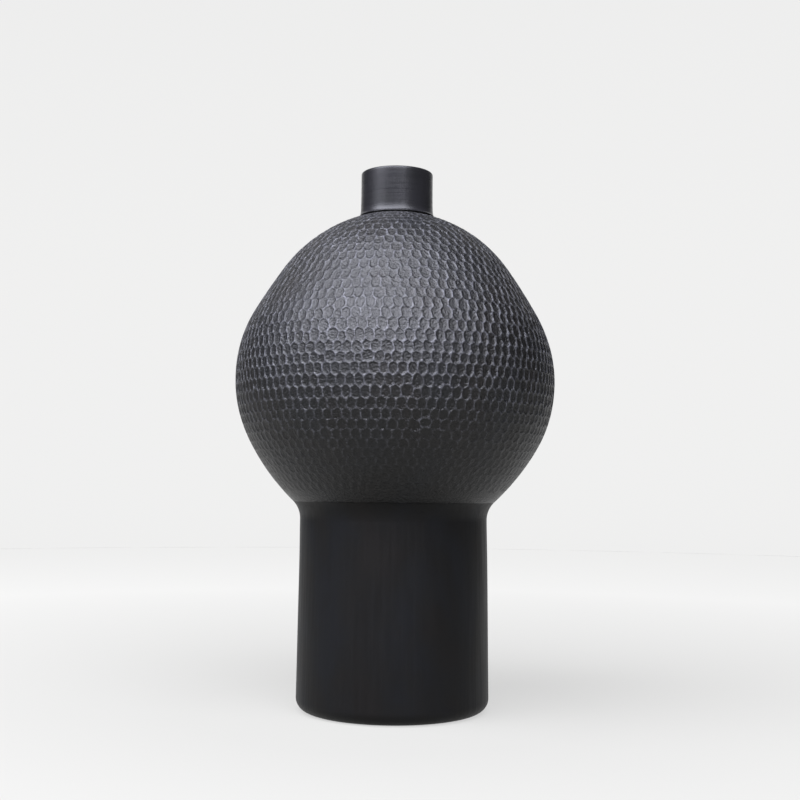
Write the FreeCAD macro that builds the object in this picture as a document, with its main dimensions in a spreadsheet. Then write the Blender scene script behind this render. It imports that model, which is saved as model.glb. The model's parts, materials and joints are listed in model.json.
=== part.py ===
import FreeCAD, Part

import math
import os

import Sketcher

# A black clay pot: a cylinder base, a globe and a short neck, in millimetres.
#
# The potter builds it from separate pieces of clay that are luted together
# while they are leather-hard: a floor slab, a rolled cylinder, a flared coil,
# a bowl, a dome and a neck collar, with coils that back the joints. Every
# joint is level, because each rim is trimmed flat before the next piece goes on.
#
# +Z is up, and the origin is the middle of the face that the pot stands on.

# ---------------------------------------------------------------- dimensions

DIMENSIONS = [
    ("pot_height", 400.0, "from the resting face to the top of the lip"),
    ("wall_thick", 7.0, "wall of the cylinder's top, the globe and the coil between"),
    # the floor and the cylinder
    ("foot_radius", 70.9, "outer radius of the cylinder at the floor"),
    ("foot_rounding", 9.0, "rounding of the floor slab's lower edge"),
    ("floor_thick", 10.0, "thickness of the floor slab"),
    ("foot_coil_reach", 9.0, "how far the corner coil reaches up and inwards"),
    ("foot_coil_arc", 20.0, "radius of the corner coil's hollow face"),
    ("waist_radius", 69.4, "outer radius at the narrowest place"),
    ("waist_height", 139.0, "level of the cylinder's trimmed rim"),
    # the globe, which is five arcs that run into each other
    ("waist_arc", 18.2, "radius of the hollow between the cylinder and the globe"),
    ("bowl_arc", 166.5, "radius of the bowl's flatter lower arc"),
    ("equator_arc", 100.4, "radius of the arc round the widest place"),
    ("shoulder_arc", 460.0, "radius of the nearly straight shoulder"),
    ("crown_arc", 106.0, "radius of the arc that closes over to the neck"),
    ("globe_radius", 118.95, "outer radius at the widest place"),
    ("equator_height", 241.6, "level of the widest place"),
    ("shoulder_height", 291.8, "level where the shoulder arc begins"),
    ("bowl_rim_height", 152.0, "level of the joint between the flared coil and the bowl"),
    ("seam_height", 245.0, "level of the joint between the bowl and the dome"),
    ("seat_height", 365.2, "level of the flat seat for the neck"),
    # the coil behind the seam of the globe
    ("seam_coil_height", 22.0, "height of the coil smeared over the seam"),
    ("seam_coil_arc", 16.0, "radius of that coil's rounded side"),
    # the neck
    ("neck_coil_thick", 0.9, "thickness of the coil squeezed under the neck"),
    ("neck_coil_radius", 27.6, "outer radius of that coil, a little inside the collar's foot"),
    ("neck_foot_radius", 28.5, "outer radius of the collar's flared foot"),
    ("neck_radius", 27.1, "outer radius of the collar"),
    ("neck_flare_height", 14.0, "height over which the foot flares"),
    ("mouth_radius", 21.5, "radius of the bore through the neck"),
    ("lip_outside", 2.0, "rounding of the lip's outer edge"),
    ("lip_inside", 1.5, "rounding of the lip's inner edge"),
]

doc = FreeCAD.newDocument("ClayPot")
sheet = doc.addObject("Spreadsheet::Sheet", "Dims")
for row, (alias, number, meaning) in enumerate(DIMENSIONS, start=1):
    sheet.set(f"A{row}", meaning)
    sheet.set(f"B{row}", str(number))
    sheet.setAlias(f"B{row}", alias)
doc.recompute()


def value(expression):
    """What an expression on the dimension sheet comes to, for a first rough drawing."""
    return float(sheet.evalExpression(expression))


# ------------------------------------------------------------ sketch helpers

START = 1           # a line's or an arc's first point
END = 2             # its second point
CENTRE = 3          # an arc's centre
ORIGIN = (-1, 1)    # the sketch's origin


def new_body(label):
    """A PartDesign body, for one turned piece of clay."""
    body = doc.addObject("PartDesign::Body", label)
    body.Label = label
    return body


def new_sketch(body, role):
    """A sketch on one of the body's own origin planes."""
    plane = next(item for item in body.Origin.OriginFeatures if item.Role == role)
    sketch = body.newObject("Sketcher::SketchObject", f"{body.Name}_outline")
    sketch.AttachmentSupport = (plane, [""])
    sketch.MapMode = "FlatFace"
    return sketch


def relate(sketch, kind, *elements):
    """A constraint without a size, such as Tangent or Coincident."""
    sketch.addConstraint(Sketcher.Constraint(kind, *elements))


def measure(sketch, kind, *elements, by):
    """A constraint whose size is an expression on the dimension sheet."""
    index = sketch.addConstraint(Sketcher.Constraint(kind, *elements, value(by)))
    sketch.setExpression(f"Constraints[{index}]", by)


def hold(sketch, element, point, radius=None, height=None):
    """Hold a point of a section at a radius from the axis, a height or both."""
    if radius is not None:
        measure(sketch, "DistanceX", *ORIGIN, element, point, by=radius)
    if height is not None:
        measure(sketch, "DistanceY", *ORIGIN, element, point, by=height)


def add_line(sketch, start, end):
    """A straight side between two rough points."""
    return sketch.addGeometry(Part.LineSegment(start, end), False)


def add_arc(sketch, centre, radius, from_degrees, to_degrees):
    """An arc, drawn anticlockwise about a rough centre."""
    circle = Part.Circle(centre, FreeCAD.Vector(0, 0, 1), radius)
    ends = math.radians(from_degrees), math.radians(to_degrees)
    return sketch.addGeometry(Part.ArcOfCircle(circle, *ends), False)


def on_circle(centre, radius, degrees):
    """The point of a circle at an angle from the outward direction."""
    turn = math.radians(degrees)
    return centre + FreeCAD.Vector(radius * math.cos(turn), radius * math.sin(turn), 0)


def add_polygon(sketch, corners):
    """A closed outline of straight sides, with every corner held by two expressions."""
    rough = [FreeCAD.Vector(value(radius), value(height), 0) for radius, height in corners]
    sides = [add_line(sketch, rough[i - 1], rough[i]) for i in range(len(rough))]
    for i, side in enumerate(sides):
        relate(sketch, "Coincident", sides[i - 1], END, side, START)
        hold(sketch, side, END, *corners[i])


def turn_round(body, sketch):
    """Turn a section a full turn round the pot's axis."""
    turned = body.newObject("PartDesign::Revolution", f"{body.Name}_turned")
    turned.Profile = sketch
    turned.ReferenceAxis = (sketch, ["V_Axis"])
    turned.Angle = 360.0
    body.Tip = turned
    return turned


def round_edge(body, base, radius, height, rounding):
    """Round the circular edge that a feature has at a radius and a height."""
    doc.recompute()
    wanted = value(radius), value(height)
    names = []
    for index, edge in enumerate(base.Shape.Edges, start=1):
        curve = edge.Curve
        if isinstance(curve, Part.Circle) and math.dist(wanted, (curve.Radius, curve.Center.z)) < 0.01:
            names.append(f"Edge{index}")
    rounded = body.newObject("PartDesign::Fillet", f"{base.Name}_rounded")
    rounded.Base = (base, names)
    rounded.setExpression("Radius", rounding)
    body.Tip = rounded
    return rounded


# ------------------------------------------------- the wall of the whole pot

def draw_skin(sketch, inward, waist_turn=46, bowl_turn=28, shoulder_turn=30, crown_turn=34):
    """Five arcs that make the wall's outer side, or its inner side a wall further in.

    They are the hollow waist, the bowl's lower arc, the equator, the shoulder
    and the crown. The turns are rough angles, in degrees, at which one arc
    hands over to the next; the sketch's constraints settle the true ones.
    """
    waist_arc = value("Dims.waist_arc")
    waist = FreeCAD.Vector(value("Dims.waist_radius") + waist_arc, value("Dims.waist_height"), 0)
    equator_arc = value("Dims.equator_arc")
    equator = FreeCAD.Vector(value("Dims.globe_radius") - equator_arc, value("Dims.equator_height"), 0)
    bowl_arc = value("Dims.bowl_arc")
    bowl = on_circle(equator, bowl_arc - equator_arc, 180 - bowl_turn)
    shoulder_arc = value("Dims.shoulder_arc")
    shoulder = on_circle(equator, shoulder_arc - equator_arc, 180 + shoulder_turn)
    crown_arc = value("Dims.crown_arc")
    crown = on_circle(shoulder, shoulder_arc - crown_arc, crown_turn)
    neck_turn = math.degrees(math.acos((value("Dims.neck_foot_radius") - crown.x) / crown_arc))
    skin = [
        add_arc(sketch, waist, waist_arc + inward, 180 - waist_turn, 180),
        add_arc(sketch, bowl, bowl_arc - inward, -waist_turn, -bowl_turn),
        add_arc(sketch, equator, equator_arc - inward, -bowl_turn, shoulder_turn),
        add_arc(sketch, shoulder, shoulder_arc - inward, shoulder_turn, crown_turn),
        add_arc(sketch, crown, crown_arc - inward, crown_turn, neck_turn),
    ]
    # the waist is hollow, so its first point, going anticlockwise, is its upper one
    relate(sketch, "Tangent", skin[0], START, skin[1], START)
    for lower, upper in zip(skin[1:], skin[2:]):
        relate(sketch, "Tangent", lower, END, upper, START)
    return skin


def build_wall():
    """The wall of the whole pot, from the floor slab up to the seat for the neck."""
    body = new_body("wall")
    sketch = new_sketch(body, "XZ_Plane")
    outer = draw_skin(sketch, 0)
    inner = draw_skin(sketch, value("Dims.wall_thick"))
    waist, bowl, equator, shoulder, crown = outer

    # the outer side
    foot = FreeCAD.Vector(value("Dims.foot_radius"), value("Dims.floor_thick"), 0)
    rim = FreeCAD.Vector(value("Dims.waist_radius"), value("Dims.waist_height"), 0)
    side = add_line(sketch, foot, rim)
    hold(sketch, side, START, "Dims.foot_radius", "Dims.floor_thick")
    hold(sketch, side, END, "Dims.waist_radius", "Dims.waist_height")
    relate(sketch, "Tangent", side, END, waist, END)
    measure(sketch, "Radius", waist, by="Dims.waist_arc")
    measure(sketch, "Radius", bowl, by="Dims.bowl_arc")
    measure(sketch, "Radius", equator, by="Dims.equator_arc")
    hold(sketch, equator, CENTRE, "Dims.globe_radius - Dims.equator_arc", "Dims.equator_height")
    hold(sketch, equator, END, height="Dims.shoulder_height")
    measure(sketch, "Radius", shoulder, by="Dims.shoulder_arc")
    measure(sketch, "Radius", crown, by="Dims.crown_arc")
    hold(sketch, crown, END, "Dims.neck_foot_radius", "Dims.seat_height")

    # the inner side, which keeps the same centres
    for outer_arc, inner_arc in zip(outer, inner):
        relate(sketch, "Coincident", outer_arc, CENTRE, inner_arc, CENTRE)
    measure(sketch, "Radius", inner[2], by="Dims.equator_arc - Dims.wall_thick")
    bore_radius = value("Dims.waist_radius - Dims.wall_thick")
    bore_foot = FreeCAD.Vector(bore_radius, foot.y, 0)
    bore = add_line(sketch, FreeCAD.Vector(bore_radius, rim.y, 0), bore_foot)
    relate(sketch, "Tangent", bore, START, inner[0], END)
    relate(sketch, "Vertical", bore)
    hold(sketch, inner[4], END, radius="Dims.mouth_radius")

    # the trimmed foot, and the level seat with the hole cut in it
    trim = add_line(sketch, bore_foot, foot)
    relate(sketch, "Coincident", bore, END, trim, START)
    relate(sketch, "Coincident", trim, END, side, START)
    relate(sketch, "Horizontal", trim)
    seat_start = FreeCAD.Vector(value("Dims.neck_foot_radius"), value("Dims.seat_height"), 0)
    seat_end = FreeCAD.Vector(value("Dims.mouth_radius"), value("Dims.seat_height"), 0)
    seat = add_line(sketch, seat_start, seat_end)
    relate(sketch, "Coincident", crown, END, seat, START)
    relate(sketch, "Horizontal", seat)
    hole = add_line(sketch, seat_end, FreeCAD.Vector(seat_end.x, seat_end.y - 1, 0))
    relate(sketch, "Coincident", seat, END, hole, START)
    relate(sketch, "Vertical", hole)
    relate(sketch, "Coincident", hole, END, inner[4], END)
    turn_round(body, sketch)
    return body


def cut_section(wall, label, bottom, top):
    """The stretch of the wall between two trimmed rims, as a piece of its own."""
    span = doc.addObject("Part::Cylinder", f"{label}_span")
    span.setExpression("Radius", "Dims.globe_radius + Dims.wall_thick")
    span.setExpression("Height", f"{top} - {bottom}")
    span.setExpression("Placement.Base.z", bottom)
    section = doc.addObject("Part::Common", label)
    section.Base = wall
    section.Tool = span
    section.Label = label
    return section


# ------------------------------------------------------ the pieces, foot first

def build_floor_slab():
    """The rolled slab that closes the bottom, its lower edge rounded with a wet hand."""
    body = new_body("floor_slab")
    sketch = new_sketch(body, "XY_Plane")
    circle = Part.Circle(FreeCAD.Vector(0, 0, 0), FreeCAD.Vector(0, 0, 1), value("Dims.foot_radius"))
    edge = sketch.addGeometry(circle, False)
    relate(sketch, "Coincident", edge, CENTRE, *ORIGIN)
    measure(sketch, "Radius", edge, by="Dims.foot_radius")
    slab = body.newObject("PartDesign::Pad", "floor_slab_pad")
    slab.Profile = sketch
    slab.setExpression("Length", "Dims.floor_thick")
    round_edge(body, slab, "Dims.foot_radius", "0", "Dims.foot_rounding")
    return body


def build_foot_coil():
    """The coil worked into the inside corner between the floor and the cylinder."""
    body = new_body("foot_coil")
    sketch = new_sketch(body, "XZ_Plane")
    bore = "(Dims.waist_radius - Dims.wall_thick)"
    reach = value("Dims.foot_coil_reach")
    corner = FreeCAD.Vector(value(bore), value("Dims.floor_thick"), 0)
    toe = corner - FreeCAD.Vector(reach, 0, 0)
    top = corner + FreeCAD.Vector(0, reach, 0)
    along_floor = add_line(sketch, toe, corner)
    up_wall = add_line(sketch, corner, top)
    # the hollow face turns through less than a quarter, so it has no feather edges
    arc = value("Dims.foot_coil_arc")
    half_turn = math.degrees(math.asin(reach / math.sqrt(2) / arc))
    depth = math.sqrt(arc ** 2 - reach ** 2 / 2)
    centre = on_circle((toe + top) / 2, depth, 135)
    face = add_arc(sketch, centre, arc, -45 - half_turn, -45 + half_turn)
    hold(sketch, along_floor, START, f"{bore} - Dims.foot_coil_reach", "Dims.floor_thick")
    hold(sketch, along_floor, END, bore, "Dims.floor_thick")
    hold(sketch, up_wall, END, bore, "Dims.floor_thick + Dims.foot_coil_reach")
    relate(sketch, "Coincident", along_floor, END, up_wall, START)
    relate(sketch, "Coincident", face, START, along_floor, START)
    relate(sketch, "Coincident", face, END, up_wall, END)
    measure(sketch, "Radius", face, by="Dims.foot_coil_arc")
    turn_round(body, sketch)
    return body


def build_seam_coil():
    """The coil smeared over the inside of the seam between the bowl and the dome."""
    body = new_body("seam_coil")
    sketch = new_sketch(body, "XZ_Plane")
    inner_arc = value("Dims.equator_arc - Dims.wall_thick")
    centre_radius = "Dims.globe_radius - Dims.equator_arc"
    centre = FreeCAD.Vector(value(centre_radius), value("Dims.equator_height"), 0)
    low = "Dims.seam_height - Dims.seam_coil_height / 2"
    high = "Dims.seam_height + Dims.seam_coil_height / 2"
    low_turn = math.degrees(math.asin((value(low) - centre.y) / inner_arc))
    high_turn = math.degrees(math.asin((value(high) - centre.y) / inner_arc))
    back = add_arc(sketch, centre, inner_arc, low_turn, high_turn)
    # the rounded side bulges inwards, so anticlockwise it runs from top to bottom
    bulge = value("Dims.seam_coil_arc")
    half_height = value("Dims.seam_coil_height / 2")
    middle = on_circle(centre, inner_arc, (low_turn + high_turn) / 2)
    bulge_centre = middle + FreeCAD.Vector(math.sqrt(bulge ** 2 - half_height ** 2), 0, 0)
    half_turn = math.degrees(math.asin(half_height / bulge))
    front = add_arc(sketch, bulge_centre, bulge, 180 - half_turn, 180 + half_turn)
    hold(sketch, back, CENTRE, centre_radius, "Dims.equator_height")
    measure(sketch, "Radius", back, by="Dims.equator_arc - Dims.wall_thick")
    hold(sketch, back, START, height=low)
    hold(sketch, back, END, height=high)
    relate(sketch, "Coincident", front, START, back, END)
    relate(sketch, "Coincident", front, END, back, START)
    measure(sketch, "Radius", front, by="Dims.seam_coil_arc")
    turn_round(body, sketch)
    return body


def build_neck_coil():
    """The thin coil squeezed between the seat and the collar; it shows as a groove."""
    body = new_body("neck_coil")
    sketch = new_sketch(body, "XZ_Plane")
    add_polygon(sketch, [
        ("Dims.mouth_radius", "0"),
        ("Dims.neck_coil_radius", "0"),
        ("Dims.neck_coil_radius", "Dims.neck_coil_thick"),
        ("Dims.mouth_radius", "Dims.neck_coil_thick"),
    ])
    turn_round(body, sketch)
    body.setExpression("Placement.Base.z", "Dims.seat_height")
    return body


def build_neck_collar():
    """The thrown collar, with a flared foot and a rounded lip."""
    body = new_body("neck_collar")
    sketch = new_sketch(body, "XZ_Plane")
    collar_height = "Dims.pot_height - Dims.seat_height - Dims.neck_coil_thick"
    add_polygon(sketch, [
        ("Dims.mouth_radius", "0"),
        ("Dims.neck_foot_radius", "0"),
        ("Dims.neck_radius", "Dims.neck_flare_height"),
        ("Dims.neck_radius", collar_height),
        ("Dims.mouth_radius", collar_height),
    ])
    collar = turn_round(body, sketch)
    outside = round_edge(body, collar, "Dims.neck_radius", collar_height, "Dims.lip_outside")
    round_edge(body, outside, "Dims.mouth_radius", collar_height, "Dims.lip_inside")
    body.setExpression("Placement.Base.z", "Dims.seat_height + Dims.neck_coil_thick")
    return body


wall = build_wall()
pieces = [
    build_floor_slab(),
    build_foot_coil(),
    cut_section(wall, "base_cylinder", "Dims.floor_thick", "Dims.waist_height"),
    cut_section(wall, "waist_coil", "Dims.waist_height", "Dims.bowl_rim_height"),
    cut_section(wall, "lower_bowl", "Dims.bowl_rim_height", "Dims.seam_height"),
    build_seam_coil(),
    cut_section(wall, "upper_dome", "Dims.seam_height", "Dims.seat_height"),
    build_neck_coil(),
    build_neck_collar(),
]
doc.recompute()

# ----------------------------------------------------------- check and export

for item in doc.Objects:
    if "Invalid" in item.State or "Error" in item.State:
        raise RuntimeError(f"{item.Name} did not recompute: {item.State}")
    if item.TypeId == "Sketcher::SketchObject" and not item.FullyConstrained:
        raise RuntimeError(f"{item.Name} is not fully constrained")

os.makedirs("parts", exist_ok=True)
for piece in pieces:
    shape = piece.Shape
    if shape.isNull() or not shape.isValid() or len(shape.Solids) != 1:
        raise RuntimeError(f"{piece.Label} is not one valid solid")
    shape.exportStep(f"parts/{piece.Label}.step")
    box = shape.optimalBoundingBox(False)
    print(f"{piece.Label}: {shape.Volume / 1000:.1f} cm3, "
          f"{2 * box.XMax:.1f} mm across, {box.ZMin:.1f} to {box.ZMax:.1f} mm up")
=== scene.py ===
# %% [markdown]
# # A black clay pot with a globe of pressed cells
# The pot is smoke-fired clay: a plain cylinder base, a round globe covered with rows of cells pressed
# in one by one, and a short straight neck.  The solid model of the pot is already made, and this lesson
# gives it its real surface: every wall is a closed shell of its own, in metres, in the solid model's
# frame.  The frame is loaded first, and its box is kept, because nothing may grow past it.

# %% Load the frame
import json
import math
import random
from bisect import bisect_left

import bmesh
import bpy
from mathutils import Matrix, Vector, noise


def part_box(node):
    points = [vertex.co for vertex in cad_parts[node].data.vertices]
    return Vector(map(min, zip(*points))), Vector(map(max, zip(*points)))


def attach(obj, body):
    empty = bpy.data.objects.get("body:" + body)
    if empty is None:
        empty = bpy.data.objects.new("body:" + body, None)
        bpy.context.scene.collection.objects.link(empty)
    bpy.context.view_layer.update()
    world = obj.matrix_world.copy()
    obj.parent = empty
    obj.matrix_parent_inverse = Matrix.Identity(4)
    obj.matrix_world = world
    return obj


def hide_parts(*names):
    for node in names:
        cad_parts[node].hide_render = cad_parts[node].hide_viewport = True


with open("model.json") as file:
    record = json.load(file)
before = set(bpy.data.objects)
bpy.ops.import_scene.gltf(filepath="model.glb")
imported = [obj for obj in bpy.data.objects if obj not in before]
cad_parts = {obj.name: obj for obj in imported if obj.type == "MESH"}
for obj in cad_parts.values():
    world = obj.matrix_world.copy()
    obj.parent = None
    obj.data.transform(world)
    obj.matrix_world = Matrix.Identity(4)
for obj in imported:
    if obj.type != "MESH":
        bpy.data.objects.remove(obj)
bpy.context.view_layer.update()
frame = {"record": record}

# %% [markdown]
# ## The camera
# A pot like this is looked at from a little below its middle, so the globe rises over the eye.  The
# lens is a short telephoto, which keeps the cylinder's sides nearly parallel.  The camera could be
# aimed with a constraint, but three plain turns are easier to read: a tilt up, a small swing to the
# side, and the small lean of a camera held by hand.

# %% Set the camera
EYE = Vector((0.0, -0.89813, 0.16594))
TILT_UP = math.radians(3.957)
SWING = math.radians(-0.2414)
LEAN = math.radians(0.544)

camera_data = bpy.data.cameras.new("camera")
camera_data.sensor_width = 36
camera_data.lens = 54
camera = bpy.data.objects.new("camera", camera_data)
camera.matrix_world = (
    Matrix.Translation(EYE)
    @ Matrix.Rotation(SWING, 4, "Z")
    @ Matrix.Rotation(math.pi / 2 + TILT_UP, 4, "X")
    @ Matrix.Rotation(LEAN, 4, "Z")
)
bpy.context.scene.collection.objects.link(camera)
bpy.context.scene.camera = camera
print("camera", round(EYE.length, 3), "m from the foot")

# %% [markdown]
# ## Small helpers for the mesh work
# Every piece ends the same way: its mesh is written out, its faces are shaded smooth, it gets a finish,
# it rides on the pot, and it stands for one solid of the frame.  One function does that, so that no
# step is forgotten on any piece.

# %% Helpers that every piece uses
STEPS_ROUND = 192
SHARP_TURN = math.radians(60)
SAME_PLACE = 1e-6


def finish_piece(bm, name, node, clay):
    """Turns a bmesh into a named piece that replaces one solid of the frame."""
    mesh = bpy.data.meshes.new(name)
    bm.to_mesh(mesh)
    bm.free()
    mesh.shade_smooth()
    mesh.set_sharp_from_angle(angle=SHARP_TURN)
    mesh.materials.append(clay)
    piece = bpy.data.objects.new(name, mesh)
    bpy.context.scene.collection.objects.link(piece)
    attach(piece, "root")
    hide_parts(node)
    print(name, len(mesh.vertices), "points", len(mesh.polygons), "faces")


def arc(centre, radius, start, end, parts):
    """Points along an arc in the (radius, height) plane, both ends included."""
    points = []
    for step in range(parts + 1):
        angle = start + (end - start) * step / parts
        points.append(centre + radius * Vector((math.cos(angle), math.sin(angle))))
    return points


def line(start, end, parts):
    """Points along a straight run, both ends included."""
    return [start.lerp(end, step / parts) for step in range(parts + 1)]


def spin_section(bm, points, closed):
    """Spins a section of (radius, height) points round the pot's axis into a skin."""
    verts = [bm.verts.new((point.x, 0, point.y)) for point in points]
    edges = [bm.edges.new(pair) for pair in zip(verts, verts[1:])]
    if closed:
        edges.append(bm.edges.new((verts[-1], verts[0])))
    bmesh.ops.spin(
        bm,
        geom=verts + edges,
        cent=(0, 0, 0),
        axis=(0, 0, 1),
        angle=2 * math.pi,
        steps=STEPS_ROUND,
        use_merge=True,
    )


def without_doubles(points):
    """Drops each point that repeats the one before it, where two runs meet."""
    kept = [points[0]]
    for point in points[1:]:
        if (point - kept[-1]).length > SAME_PLACE:
            kept.append(point)
    return kept

# %% [markdown]
# ## The hand in the outline
# A pot built up by hand is never quite true.  Its middle wanders by half a millimetre or so where one
# stage was joined to the next, and the wall is a little fuller here and thinner there.  Modelling that
# by moving single points would look random, so two smooth formulas do it: four gentle sideways bumps,
# and a slow noise that only ever takes clay away.  Every piece passes through the same two formulas,
# so the pieces still meet.

# %% Unevenness that every piece shares: each bump is its height, its spread and its push
SIDEWAYS_BUMPS = (
    (0.140, 0.022, 0.0003),
    (0.198, 0.024, -0.0004),
    (0.285, 0.026, 0.0005),
    (0.350, 0.014, -0.0003),
)
HOLLOWS_PER_METRE = 22
HOLLOW_DEPTH = 0.00012
ON_THE_AXIS = 1e-4


def uneven(bm):
    """Gives a finished piece the slow unevenness of the hand."""
    for vert in bm.verts:
        sideways = 0
        for height, spread, push in SIDEWAYS_BUMPS:
            sideways -= push * math.exp(-(((vert.co.z - height) / spread) ** 2))
        outward = Vector((vert.co.x, vert.co.y, 0))
        if outward.length > ON_THE_AXIS:
            fullness = noise.noise(vert.co * HOLLOWS_PER_METRE)
            vert.co -= outward.normalized() * HOLLOW_DEPTH * (0.5 + 0.5 * fullness)
        vert.co.x += sideways

# %% [markdown]
# ## The outline of the pot
# Seen from the side, the wall is a chain of arcs that run smoothly into each other: a small hollow arc
# at the waist, then the bowl, the tight turn at the equator, the long shoulder and the crown up to the
# neck.  Two arcs run smoothly into each other where both centres and the meeting point lie on one line,
# so each unknown centre is found from two distances.  Working it out this way keeps the skin exactly on
# the solid model, with a handful of driving sizes.

# %% Sizes from the frame, and the arcs between them
FOOT_ROUNDING = 0.009
WAIST_RADIUS = 0.0694
WAIST_ARC = 0.0182
BOWL_ARC = 0.1665
EQUATOR_ARC = 0.1004
SHOULDER_ARC = 0.460
CROWN_ARC = 0.106
EQUATOR_HEIGHT = 0.2416
SHOULDER_HEIGHT = 0.2918
NECK_FOOT_RADIUS = 0.0285
WALL = 0.007

floor_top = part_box("floor_slab")[1].z
foot_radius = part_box("floor_slab")[1].x
waist_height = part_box("waist_coil")[0].z
bowl_rim_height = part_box("lower_bowl")[0].z
globe_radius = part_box("lower_bowl")[1].x
seam_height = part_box("upper_dome")[0].z
seat_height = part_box("upper_dome")[1].z
neck_foot_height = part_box("neck_collar")[0].z
pot_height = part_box("neck_collar")[1].z
mouth_radius = frame["record"]["mounts"][0]["dims"]["r_mm"] / 1000


def centre_from(first, first_distance, second, second_distance):
    """The lower of the two points that lie at given distances from two others."""
    across = second - first
    gap = across.length
    along = (first_distance**2 - second_distance**2 + gap**2) / (2 * gap)
    aside = math.sqrt(first_distance**2 - along**2)
    square = Vector((-across.y, across.x)) / gap
    foot = first + across * along / gap
    return min((foot + aside * square, foot - aside * square), key=lambda point: point.y)


def angle_from(centre, point):
    """The direction of a point as seen from a centre."""
    return math.atan2(point.y - centre.y, point.x - centre.x)


taper = math.atan2(foot_radius - WAIST_RADIUS, waist_height - FOOT_ROUNDING)
waist_start = Vector((WAIST_RADIUS, waist_height))
waist_centre = waist_start + WAIST_ARC * Vector((math.cos(taper), math.sin(taper)))
equator_centre = Vector((globe_radius - EQUATOR_ARC, EQUATOR_HEIGHT))
bowl_centre = centre_from(waist_centre, BOWL_ARC + WAIST_ARC, equator_centre, BOWL_ARC - EQUATOR_ARC)
shoulder_turn = math.asin((SHOULDER_HEIGHT - EQUATOR_HEIGHT) / EQUATOR_ARC)
shoulder_direction = Vector((math.cos(shoulder_turn), math.sin(shoulder_turn)))
shoulder_centre = equator_centre - (SHOULDER_ARC - EQUATOR_ARC) * shoulder_direction
seat_corner = Vector((NECK_FOOT_RADIUS, seat_height))
crown_centre = centre_from(shoulder_centre, SHOULDER_ARC - CROWN_ARC, seat_corner, CROWN_ARC)

crown_turn = angle_from(shoulder_centre, crown_centre)
bowl_turn = angle_from(bowl_centre, equator_centre)
waist_turn = angle_from(bowl_centre, waist_centre)
seat_turn = angle_from(crown_centre, seat_corner)
globe_arcs = [
    (crown_centre, CROWN_ARC, seat_turn, crown_turn),
    (shoulder_centre, SHOULDER_ARC, crown_turn, shoulder_turn),
    (equator_centre, EQUATOR_ARC, shoulder_turn, bowl_turn),
    (bowl_centre, BOWL_ARC, bowl_turn, waist_turn),
]
for centre, radius, start, end in globe_arcs:
    print("arc", [round(part, 5) for part in centre], radius, round(start, 4), round(end, 4))

# %% [markdown]
# ## Walking on the globe
# Two small functions are all that the cells need.  One walks down the outline from the neck by a
# distance in metres, which is how the potter sets out the rows.  The other looks out from the middle
# of the globe in a direction and says how far off the wall is, which puts a pattern made on a plain
# round ball onto the globe's true shape.

# %% Walk down the outline, and look out to the wall
middle = Vector((0, EQUATOR_HEIGHT))


def down_the_outline(distance):
    """The point (radius, height) that lies a distance below the neck joint, along the wall."""
    for centre, radius, start, end in globe_arcs:
        length = radius * (start - end)
        if distance <= length or centre is bowl_centre:
            angle = start - distance / radius
            return centre + radius * Vector((math.cos(angle), math.sin(angle)))
        distance -= length


arc_limits = [
    angle_from(middle, centre + radius * Vector((math.cos(end), math.sin(end))))
    for centre, radius, start, end in globe_arcs
]


def wall_point(elevation):
    """The point (radius, height) on the wall in a direction from the middle of the globe."""
    which = 0
    while which < len(globe_arcs) - 1 and elevation < arc_limits[which]:
        which += 1
    centre, radius = globe_arcs[which][:2]
    direction = Vector((math.cos(elevation), math.sin(elevation)))
    to_centre = centre - middle
    along = direction.dot(to_centre)
    reach = along + math.sqrt(along**2 - to_centre.length_squared + radius**2)
    return middle + reach * direction


bowl_length = sum(radius * (start - end) for centre, radius, start, end in globe_arcs)
print("from the neck joint to the waist along the wall:", round(bowl_length, 4))

# %% [markdown]
# ## Setting out the rows of cells
# The cells are pressed row by row, each about as wide as the tool, so a row has as many as its girth
# takes.  Rows are tighter at the neck, at the seam and low on the bowl, and the marks near the neck
# are narrower too.  One row line falls on the seam between bowl and dome, so rows are set out both
# ways from it.  A seeded random generator gives each row and mark its small error, and the same pot
# on every run.

# %% Row heights, from the seam up and down
CELL_WIDTH = 0.0067
BAND_TOP = 0.1565
SEAM_PITCH = 0.0068
WIDE_PITCH = 0.0088
LOW_PITCH = 0.0068
NECK_WIDTH_SHARE = 0.72
NECK_REACH = 0.034
NECK_PITCH = 0.0062
WIDE_REACH = 0.017
MOUTH_OVERRUN = 0.026
SMALLEST_ROW = 0.012
UNDER_RIM = 0.01
SWELL_POWER = 0.7
SEARCH_STEP = 0.0001

chance = random.Random(11)
seam_distance = 0.0
while down_the_outline(seam_distance).y > seam_height:
    seam_distance += SEARCH_STEP
print("the seam lies", round(seam_distance, 4), "m below the neck joint")


def rows_up():
    """Distances of the rows above the seam, ending inside the mouth."""
    distance = seam_distance
    rows = []
    while distance > -MOUTH_OVERRUN:
        share = max(0.0, min(1.0, distance / seam_distance))
        swell = math.sin(math.pi * share) ** SWELL_POWER if 0 < share < 1 else 0
        pitch = (SEAM_PITCH + (WIDE_PITCH - SEAM_PITCH) * swell) * chance.uniform(0.84, 1.16)
        if distance < NECK_REACH:
            pitch = min(pitch, NECK_PITCH)
        rows.append(distance - pitch / 2)
        distance -= pitch
    return rows


def rows_down():
    """Distances of the rows below the seam, ending far under the bowl's rim."""
    distance = seam_distance
    rows = []
    while down_the_outline(distance).x > SMALLEST_ROW:
        below = distance - seam_distance
        pitch = WIDE_PITCH if below < WIDE_REACH else LOW_PITCH
        if down_the_outline(distance).y < bowl_rim_height - UNDER_RIM:
            pitch = 2 * LOW_PITCH
        pitch *= chance.uniform(0.84, 1.15)
        rows.append(distance + pitch / 2)
        distance += pitch
    return rows


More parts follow.
